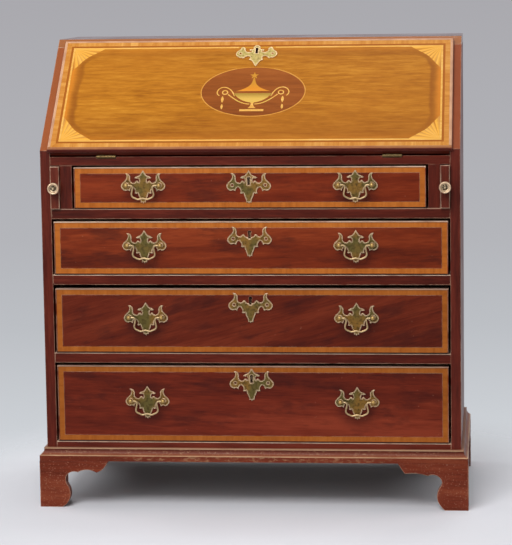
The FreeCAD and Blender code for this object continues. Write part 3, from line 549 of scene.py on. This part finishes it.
def lip_highlight(tree, place, colour):
    """The lip's moulded face with a painted highlight, pale along the top and ends and browner along the
    foot.
    """
    below_field = tree.math("SUBTRACT", -field_rise, tree.split(fall_space(tree))[1])
    face = tree.mix(tree.span(below_field, *LIP_FOOT_HIGHLIGHT_STARTS), LIP_PAINTED_HIGHLIGHT, LIP_FOOT_PAINTED_HIGHLIGHT)
    shown = tree.times(tree.facing(slope_facing, *LIP_HIGHLIGHT_FACING), tree.pattern(place, LIP_HIGHLIGHT_PATCHES))
    return tree.mix(shown, colour, face)


# Drawer fronts, numbered from the top

DRAWER_SHADES = {1: (1.14, 1.1, 0.86), 2: (1.24, 1.32, 1.06), 3: (0.8, 0.81, 0.92), 4: (0.99, 0.99, 1.24)}
FIGURE_SLANT = {1: 0.02, 2: 0.04, 3: 0.26, 4: -0.03}
BOARD_STEP = 2.3
DRAWER_FIGURE = 0.5
DRAWER_WEAR_AND_HIGHLIGHT = 0.7
MOTTLE = Pattern((9, 30, 30), 4.0, (0.5, 0.68), (0.0, 1.0), 0.6)
MOTTLE_SHARE = 0.5
GRIME_SHADOW_HALO = 62 * MM
GRIME_SHADOW_CORE = 0.3 * GRIME_SHADOW_HALO
GRIME_SHADOW_SHARE = 0.45
BEAD = 2.4 * MM
BEAD_FOOT_SHADOW_SHARE = 0.85
BEAD_RUB_AND_HIGHLIGHT = {1: 0.9, 2: 0.9, 3: 0.4, 4: 0.25}
BEAD_UNMARKED = 1 * MM
ARRIS = Pattern(14.0, 4.0, (0.32, 0.6), (0.35, 1.0), 0.65)
KNOCKS = Pattern(170.0, 2.0, (0.74, 0.8), (0.0, 1.0), 0.7)
KNOCK_SHARE = 0.4


def drawer_front_material(number):
    """Mahogany front, each cut from its own board: slanting figure, grime and a painted shadow round the
    brasses, a painted shadow under the bead's foot, a bead head rubbed and given a painted highlight, small
    knocks.
    """
    tree = new_material(f"drawer_{number}_mahogany")
    tones = [tinted(tone, DRAWER_SHADES[number]) for tone in DRAWER]
    board = tree.vector("ADD", tree.coordinates(), (BOARD_STEP * number, 0, 0))
    board = tree.mapped(board, turn=(0, FIGURE_SLANT[number], 0))
    front_low, front_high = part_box(f"drawer_{number}_front")
    foot, head = front_low.z + BEAD, front_high.z - BEAD

    def stain(tree, place, colour):
        colour = tree.mix(tree.times(tree.pattern(board, MOTTLE), MOTTLE_SHARE), colour, GRIME_AND_SHADOW)
        # Round each bail the front is darkened: grime, and a painted shadow of the brasses
        for side in ("left", "right"):
            low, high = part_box(f"drawer_{number}_{side}_bail")
            away = tree.vector("SUBTRACT", place, tuple((low + high) / 2))
            halo = tree.span(tree.vector("LENGTH", away), GRIME_SHADOW_HALO, GRIME_SHADOW_CORE)
            colour = tree.mix(tree.times(halo, GRIME_SHADOW_SHARE), colour, GRIME_AND_SHADOW)
        height = tree.split(place)[2]
        # Painted shadow: the bead's foot is painted near black
        below = tree.math("LESS_THAN", height, foot)
        colour = tree.mix(tree.times(below, BEAD_FOOT_SHADOW_SHARE), colour, PAINTED_SHADE_BLACK)
        # The bead's head is painted pale: wear and a painted highlight
        above = tree.math("GREATER_THAN", height, head)
        rubbed_and_highlit = tree.pattern(place, ARRIS, (ARRIS.to[0], BEAD_RUB_AND_HIGHLIGHT[number]))
        colour = tree.mix(tree.times(above, rubbed_and_highlit), colour, EDGE_WEAR_AND_HIGHLIGHT)
        return tree.mix(tree.times(tree.pattern(place, KNOCKS), KNOCK_SHARE), colour, RUBBED_AND_HIGHLIGHT)

    return wood(tree, tones, "x", board, DRAWER_FIGURE, DRAWER_WEAR_AND_HIGHLIGHT, (foot, foot + BEAD_UNMARKED), stain)


# Rails, lopers, base moulding and feet

RAIL_RUB_AND_HIGHLIGHT = {1: 0.4, 2: 1.0, 3: 0.7, 4: 1.0}
RAIL_LINE = 2.2 * MM
LOPER_LINE = 1.2 * MM
LOPER_END = 3 * MM
LOPER_RUB_AND_HIGHLIGHT = Pattern(40.0, 3.0, (0.3, 0.65), (0.1, 0.65))

# Base moulding above its fascia, as shares of its height: arris worn and given a painted highlight, hollow
# with painted shade darkening it upward, top edge with a painted highlight
FASCIA_TOP = 0.41
MOULDING_WEAR_AND_PAINTED_LIGHT = [
    (FASCIA_TOP, linear(224, 190, 150)), (0.45, linear(206, 162, 124)), (0.49, linear(150, 86, 58)),
    (0.66, linear(116, 56, 38)), (0.84, linear(84, 34, 24)), (0.88, linear(92, 40, 30)),
    (0.92, linear(208, 172, 136)), (1.0, linear(156, 108, 82)),
]
HOLLOW_WEAR_AND_LIGHT = Pattern((9, 9, 40), 4.0, (0.28, 0.6), (0.5, 1.0), 0.6)
HOLLOW_FLECKS = Pattern((110, 110, 260), 3.0, (0.55, 0.68), (0.0, 1.0), 0.7)
HOLLOW_FLECK_SHARE = 0.5
CHIPS = Pattern((75, 75, 190), 4.0, (0.5, 0.64), (0.0, 1.0), 0.75)
CHIP_SHARE = 0.55
CHIPS_START = 60 * MM
MOULDING_SPECKLE = 0.15
FEET_SPECKLE = 0.3
FEET_UNMARKED = 6 * MM
FEET_BOARD = 1.7


def rail_stain(tree, place, colour):
    """The rails' upper arrises, rubbed pale by the drawers above them and brightened with a painted
    highlight.
    """
    height = tree.split(place)[2]
    rubbed_and_highlit = tree.pattern(place, ARRIS)
    for number, share in RAIL_RUB_AND_HIGHLIGHT.items():
        drawer_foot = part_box(f"drawer_{number}_front")[0].z
        above = tree.math("GREATER_THAN", height, drawer_foot - RAIL_LINE)
        below = tree.math("LESS_THAN", height, drawer_foot)
        # Wear and a painted highlight along each arris
        colour = tree.mix(tree.times(above, below, rubbed_and_highlit, share), colour, EDGE_WEAR_AND_HIGHLIGHT)
    return colour


def loper_stain(tree, place, colour):
    """The outline of a loper's front end, rubbed pale and given a painted highlight."""
    low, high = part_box("right_loper")
    middle, half = (low + high) / 2, (high - low) / 2
    x, y, z = tree.split(place)
    across = tree.math("ABSOLUTE", tree.math("SUBTRACT", tree.math("ABSOLUTE", x), middle.x))
    upright = tree.math("GREATER_THAN", across, half.x - LOPER_LINE)
    away = tree.math("ABSOLUTE", tree.math("SUBTRACT", z, middle.z))
    level = tree.math("GREATER_THAN", away, half.z - LOPER_LINE)
    at_front = tree.math("LESS_THAN", y, low.y + LOPER_END)
    outline = tree.times(tree.math("MAXIMUM", upright, level), at_front)
    return tree.mix(tree.times(outline, tree.pattern(place, LOPER_RUB_AND_HIGHLIGHT)), colour, EDGE_WEAR_AND_HIGHLIGHT)


def run_along_sides(tree):
    """Coordinates whose X follows the base: across the front, and front to back along the sides."""
    place = tree.coordinates()
    x, y, z = tree.split(place)
    side_low, side_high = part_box("right_side")
    beside = tree.math("GREATER_THAN", tree.math("ABSOLUTE", x), side_high.x)
    behind = tree.math("GREATER_THAN", y, side_low.y)
    return tree.mix_vectors(tree.times(beside, behind), place, tree.join(y, x, z))


def moulding_material():
    """Fascia in the feet's colour, chipped pale between them, under a hollow with painted shade and arrises
    worn and given a painted highlight.
    """
    tree = new_material("mahogany_moulding")
    low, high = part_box("base_moulding")
    foot_inside = -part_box("front_left_foot")[1].x

    def stain(tree, place, colour):
        x, _, z = tree.split(place)
        height = tree.span(z, low.z, high.z, smooth=False)
        above = tree.math("GREATER_THAN", height, FASCIA_TOP)
        # Painted light and shade on the moulding's profile, laid on in patches of wear
        hollow = tree.times(tree.pattern(place, HOLLOW_WEAR_AND_LIGHT), above)
        colour = tree.mix(hollow, colour, tree.ramp(height, MOULDING_WEAR_AND_PAINTED_LIGHT))
        flecks = tree.times(tree.pattern(place, HOLLOW_FLECKS), hollow, HOLLOW_FLECK_SHARE)
        colour = tree.mix(flecks, colour, CHIPPED)
        between = tree.span(tree.math("ABSOLUTE", x), foot_inside, foot_inside - CHIPS_START)
        below = tree.math("LESS_THAN", height, FASCIA_TOP)
        chips = tree.times(tree.pattern(place, CHIPS), between, below, CHIP_SHARE)
        return tree.mix(chips, colour, CHIPPED)

    return wood(tree, FEET, "x", run_along_sides(tree), stain=stain, speckle=MOULDING_SPECKLE)


def feet_material():
    tree = new_material("mahogany_feet")
    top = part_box("front_left_foot")[1].z
    board = tree.vector("ADD", run_along_sides(tree), (FEET_BOARD, 0, 0))
    return wood(tree, FEET, "x", board, wear=1.0, unmarked=(top, top - FEET_UNMARKED), speckle=FEET_SPECKLE)


# Metal: the two castings of each brass, then its tarnish

AGED_BRASS = (linear(104, 92, 46), linear(142, 104, 46), linear(70, 54, 26))
HINGE_BRASS = (linear(92, 78, 48), linear(104, 84, 50), linear(66, 54, 36))
PALE_BRASS = (linear(184, 166, 96), linear(194, 170, 102), linear(142, 122, 72))
BAIL_BRASS = (linear(172, 150, 106), linear(182, 152, 98), linear(118, 94, 58))
KNOB_BRASS = (linear(198, 178, 146), linear(204, 182, 150), linear(150, 126, 98))
RUBBED_AND_HIGHLIT_BRASS = linear(250, 216, 178)
BAIL_RUBBED_AND_HIGHLIT = linear(206, 178, 136)
POST_PAINTED_HIGHLIGHT = linear(176, 142, 70)
KNOB_HOLLOW = linear(54, 42, 30)
STEEL = (linear(42, 38, 34), linear(78, 72, 66))

CASTINGS = Pattern(14.0, 2.0, (0.42, 0.58))
TARNISH = Pattern(160.0, 4.0, (0.42, 0.7), (0.0, 1.0), 0.6)
TARNISH_SHARE = 0.8
TARNISH_GLOSSIER, TARNISH_DULLER = 0.08, 0.12
BRASS_RIM = 4.5 * MM
BRASS_TURN = (0.999, 0.96)
RIM_RUB_AND_HIGHLIGHT = Pattern(220.0, 2.0, (0.25, 0.5), (0.55, 1.0))
BRASS_GRAIN_SCALE = 900.0
BRASS_BUMP = (0.12, 0.3 * MM)
BRASS_METAL = 0.8
POST_PROUD = (5 * MM, 9 * MM)
POST_HIGHLIGHT_SHARE = 0.8
KNOB_SUNK = (7.5 * MM, 6 * MM)
KNOB_PIP = (2.4 * MM, 1.4 * MM)
KNOB_SPECKS = Pattern(320.0, 2.0, (0.52, 0.58))
BRUSHED = Pattern((40, 900, 900), 3.0, (0.3, 0.7))
STEEL_ROUGHNESS = 0.5


def post_highlight(tree, place, colour):
    """Posts painted brighter where the brasses stand proud of the drawer fronts: a painted highlight."""
    out = tree.math("SUBTRACT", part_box("drawer_rails")[0].y, tree.split(place)[1])
    return tree.mix(tree.times(tree.span(out, *POST_PROUD), POST_HIGHLIGHT_SHARE), colour, POST_PAINTED_HIGHLIGHT)


def knob_stain(tree, place, colour):
    """A dark, speckled hollow in a knob's face, with a bright pip in its middle."""
    low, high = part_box("right_loper_knob")
    middle = (low + high) / 2
    x, _, z = tree.split(place)
    across = tree.math("SUBTRACT", tree.math("ABSOLUTE", x), middle.x)
    up = tree.math("SUBTRACT", z, middle.z)
    off_axis = tree.vector("LENGTH", tree.join(across, 0.0, up))
    hollow = tree.mix(tree.pattern(place, KNOB_SPECKS), KNOB_HOLLOW, KNOB_BRASS[0])
    colour = tree.mix(tree.span(off_axis, *KNOB_SUNK), colour, hollow)
    return tree.mix(tree.span(off_axis, *KNOB_PIP), colour, KNOB_BRASS[0])


def brass_material(name, tones=AGED_BRASS, rim=RUBBED_AND_HIGHLIT_BRASS, stain=None, rough=0.46):
    """Aged brass: olive and golden castings, tarnished in patches, rims rubbed bright and given a painted
    highlight.
    """
    tree = new_material(name)
    place = tree.coordinates()
    colour = tree.mix(tree.pattern(place, CASTINGS), tones[0], tones[1])
    tarnish = tree.pattern(place, TARNISH)
    colour = tree.mix(tree.times(tarnish, TARNISH_SHARE), colour, tones[2])
    # Rims lightened: wear, and a painted highlight along them
    rubbed_and_highlit = tree.times(tree.edge_mask(BRASS_RIM, *BRASS_TURN), tree.pattern(place, RIM_RUB_AND_HIGHLIGHT))
    colour = tree.mix(rubbed_and_highlit, colour, rim)
    if stain:
        colour = stain(tree, place, colour)
    grain = tree.noise(place, BRASS_GRAIN_SCALE, detail=2.0)
    roughness = tree.span(tarnish, 0.0, 1.0, rough - TARNISH_GLOSSIER, rough + TARNISH_DULLER)
    return tree.finish(Base_Color=colour, Metallic=BRASS_METAL, Roughness=roughness,
                       Normal=tree.bump(grain, *BRASS_BUMP, EDGE_ROUND))


def steel_material():
    tree = new_material("bolt_steel")
    colour = tree.mix(tree.pattern(tree.coordinates(), BRUSHED), *STEEL)
    return tree.finish(Base_Color=colour, Metallic=1.0, Roughness=STEEL_ROUGHNESS)


# Every node gets its material

def dress(material, *names):
    for name in names:
        slots = nodes[name].data.materials
        slots.clear()
        slots.append(material)


def dress_wood(material_name, tones, grain, *names, **settings):
    dress(wood(new_material(material_name), tones, grain, **settings), *names)


def dress_carcase():
    dress_wood("mahogany_left_side", LEFT_SIDE, "z", "left_side", wear=0.6, lit=LEFT_SLOPE_EDGE_PAINTED_LIGHT)
    dress_wood("mahogany_right_side", RIGHT_SIDE_PAINTED_LIGHTER, "z", "right_side", wear=0.6, lit=RIGHT_SLOPE_EDGE_PAINTED_LIGHT)
    dress_wood("mahogany_upright", MAHOGANY, "z", "loper_partitions", wear=0.4)
    dress_wood("mahogany_loper", LOPER, "z", "left_loper", "right_loper", wear=1.0, stain=loper_stain)
    dress_wood("mahogany_top", LEFT_SIDE, "x", "top_board", wear=0.4, lit=TOP_EDGE_PAINTED_LIGHT, rough=0.17, coat=0.3,
               gloss=0.5)
    dress_wood("mahogany_writing_board", MAHOGANY, "x", "writing_board", wear=0.3)
    dress_wood("mahogany_rail", MAHOGANY, "x", "drawer_rails", wear=1.0, stain=rail_stain)
    dress(moulding_material(), "base_moulding")
    dress(feet_material(), *[f"{end}_{side}_foot" for end in ("front", "rear") for side in ("left", "right")])
    dress_wood("oak_bottom", OLD_OAK, "x", "bottom_board", rough=0.6, coat=0.0, pore=0.6)
    dress_wood("oak_across", OAK, "x", "dust_boards", rough=0.6, coat=0.0, pore=0.6)
    dress_wood("oak_upright", OAK, "z", "back_boards", rough=0.62, coat=0.0, pore=0.6)
    small_drawers = [f"small_drawer_{index}" for index in (1, 2, 3)]
    dress_wood("interior_mahogany", INTERIOR, "x", "pigeonhole_case", *small_drawers, rough=0.42)


def dress_fall():
    dress_wood("mahogany_fall", MAHOGANY, "x", "fall_board")
    dress_wood("mahogany_lip", LIP_EDGE, "x", "fall_edge_moulding", wear=0.25, stain=lip_highlight)
    dress(fall_field_material(), "fall_field_veneer")
    dress(fall_banding_material(), "fall_crossbanding")
    dress(light_inlay_material(), "fall_light_inlay")
    dress(dark_inlay_material(), "fall_dark_inlay")


def dress_drawers():
    for number in DRAWER_SHADES:
        dress(drawer_front_material(number), f"drawer_{number}_front")
        dress(drawer_banding_material(number), f"drawer_{number}_banding")
    boxes = [f"drawer_{number}_box" for number in DRAWER_SHADES]
    dress_wood("oak_drawer", OAK, "y", *boxes, rough=0.6, coat=0.0, pore=0.5)


def dress_metal():
    brasses = [f"drawer_{number}_brasses" for number in DRAWER_SHADES]
    bails = [f"drawer_{number}_{side}_bail" for number in DRAWER_SHADES for side in ("left", "right")]
    bolts = [f"drawer_{number}_bolt" for number in DRAWER_SHADES]
    dress(brass_material("knob_brass", KNOB_BRASS, stain=knob_stain), "left_loper_knob", "right_loper_knob")
    hinge_brass = brass_material("hinge_brass", HINGE_BRASS, HINGE_BRASS[1])
    dress(hinge_brass, "fixed_hinge_leaves", "fall_hinge_leaves")
    dress(brass_material("plate_brass", stain=post_highlight), *brasses)
    dress(brass_material("pale_brass", PALE_BRASS, rough=0.62), "fall_lock")
    dress(brass_material("bail_brass", BAIL_BRASS, BAIL_RUBBED_AND_HIGHLIT), *bails)
    dress(steel_material(), "fall_lock_bolt", *bolts)


# Studio

CAMERA_PLACE = (0.5281, -4.7626, 1.1601)
CAMERA_YAW = -0.0866
CAMERA_PITCH = -0.1134
CAMERA_ROLL = -0.0118
CAMERA_FOCAL = 2123.7 / 545     # focal length over the photograph's longer side, both in pixels
CAMERA_SENSOR = 36
CAMERA_SHIFT = (-0.1, -0.1)

# Name, place, aim, size and power of each lamp
LAMPS = [
    ("key_softbox", (-0.6, -2.5, 3.4), (0, -0.1, 0.6), (2.2, 2.2), 90),
    ("fill_softbox", (-1.5, -3.8, 2.2), (0, 0, 0.5), (3.2, 3.2), 60),
    ("back_softbox", (0.4, 1.4, 4.9), (0, 0.2, 0.6), (1.4, 1.4), 50),
    ("left_softbox", (-3.0, 0.6, 2.5), (0, 0, 0.5), (2.0, 2.0), 34),
    ("right_softbox", (3.0, 0.6, 2.5), (0, 0, 0.5), (2.0, 2.0), 34),
]

FLOOR_RADIUS = 9.0
FLOOR_SEGMENTS = 96
FLOOR_CLEARS = (0.4, 0.95)
PAPER = (linear(230, 231, 237), linear(236, 237, 243))
PAPER_CLOUDS = Pattern(1.4, 3.0, (0.3, 0.7))
PAPER_ROUGHNESS = 0.8
PAPER_GLOSS = 0.1

AMBIENT = 0.11
WHITE = (1, 1, 1, 1)
BACKDROP_LOWEST = -0.27
BACKDROP = [
    (0.0, linear(227, 226, 231)), (0.2, linear(207, 211, 216)), (0.4, linear(188, 191, 196)),
    (0.55, linear(180, 181, 186)), (1.0, linear(169, 168, 173)),
]


def make_camera():
    data = bpy.data.cameras.new("photo_camera")
    data.sensor_width = CAMERA_SENSOR
    data.lens = CAMERA_FOCAL * CAMERA_SENSOR
    data.shift_x, data.shift_y = CAMERA_SHIFT
    camera = bpy.data.objects.new("photo_camera", data)
    scene.collection.objects.link(camera)
    level = Matrix.Rotation(-CAMERA_YAW, 4, "Z") @ Matrix.Rotation(math.pi / 2 + CAMERA_PITCH, 4, "X")
    camera.matrix_world = Matrix.Translation(CAMERA_PLACE) @ level @ Matrix.Rotation(CAMERA_ROLL, 4, "Z")
    scene.camera = camera


def make_lamp(name, place, aim, size, power):
    data = bpy.data.lights.new(name, "AREA")
    data.shape = "RECTANGLE"
    data.size, data.size_y = size
    data.energy = power
    lamp = bpy.data.objects.new(name, data)
    lamp.location = place
    lamp.rotation_euler = (Vector(aim) - Vector(place)).to_track_quat("-Z", "Y").to_euler()
    lamp.visible_camera = False
    scene.collection.objects.link(lamp)


def floor_material():
    """Pale paper round the part, which gives way to the backdrop farther out."""
    tree = new_material("floor_paper")
    place = tree.coordinates()
    tint = tree.mix(tree.pattern(place, PAPER_CLOUDS), *PAPER)
    tree.finish(Base_Color=tint, Roughness=PAPER_ROUGHNESS, Specular_IOR_Level=PAPER_GLOSS)
    paper = tree.nodes["Principled BSDF"].outputs[0]
    clear = tree.node("ShaderNodeBsdfTransparent")
    far = tree.span(tree.vector("LENGTH", place), *FLOOR_CLEARS)
    tree.show(tree.node("ShaderNodeMixShader", {0: far, 1: paper, 2: clear}), "Material Output")
    return tree.owner


def make_floor():
    mesh = bpy.data.meshes.new("floor")
    form = bmesh.new()
    bmesh.ops.create_circle(form, cap_ends=True, segments=FLOOR_SEGMENTS, radius=FLOOR_RADIUS)
    form.to_mesh(mesh)
    form.free()
    mesh.materials.append(floor_material())
    floor = bpy.data.objects.new("floor", mesh)
    scene.collection.objects.link(floor)


def make_world():
    """A pale backdrop for what is seen directly or in reflection, and a plain even light for the rest."""
    world = bpy.data.worlds.new("studio")
    tree = Tree(world)
    height = tree.split(tree.node("ShaderNodeTexCoord", output="Generated"))[2]
    share = tree.span(height, BACKDROP_LOWEST, 0.0, smooth=False)
    backdrop = tree.nodes["Background"]
    tree.put(backdrop.inputs["Color"], tree.ramp(share, BACKDROP))
    plain = tree.node("ShaderNodeBackground", {"Color": WHITE, "Strength": AMBIENT})
    shown = tree.node("ShaderNodeLightPath", output="Is Camera Ray")
    for ray in ("Is Glossy Ray", "Is Transmission Ray"):
        shown = tree.math("MAXIMUM", shown, tree.node("ShaderNodeLightPath", output=ray))
    blend = tree.node("ShaderNodeMixShader", {0: shown, 1: plain, 2: backdrop.outputs[0]})
    tree.show(blend, "World Output")
    scene.world = world


dress_carcase()
dress_fall()
dress_drawers()
dress_metal()
make_camera()
make_floor()
make_world()
for lamp in LAMPS:
    make_lamp(*lamp)
scene.view_settings.view_transform = "Standard"
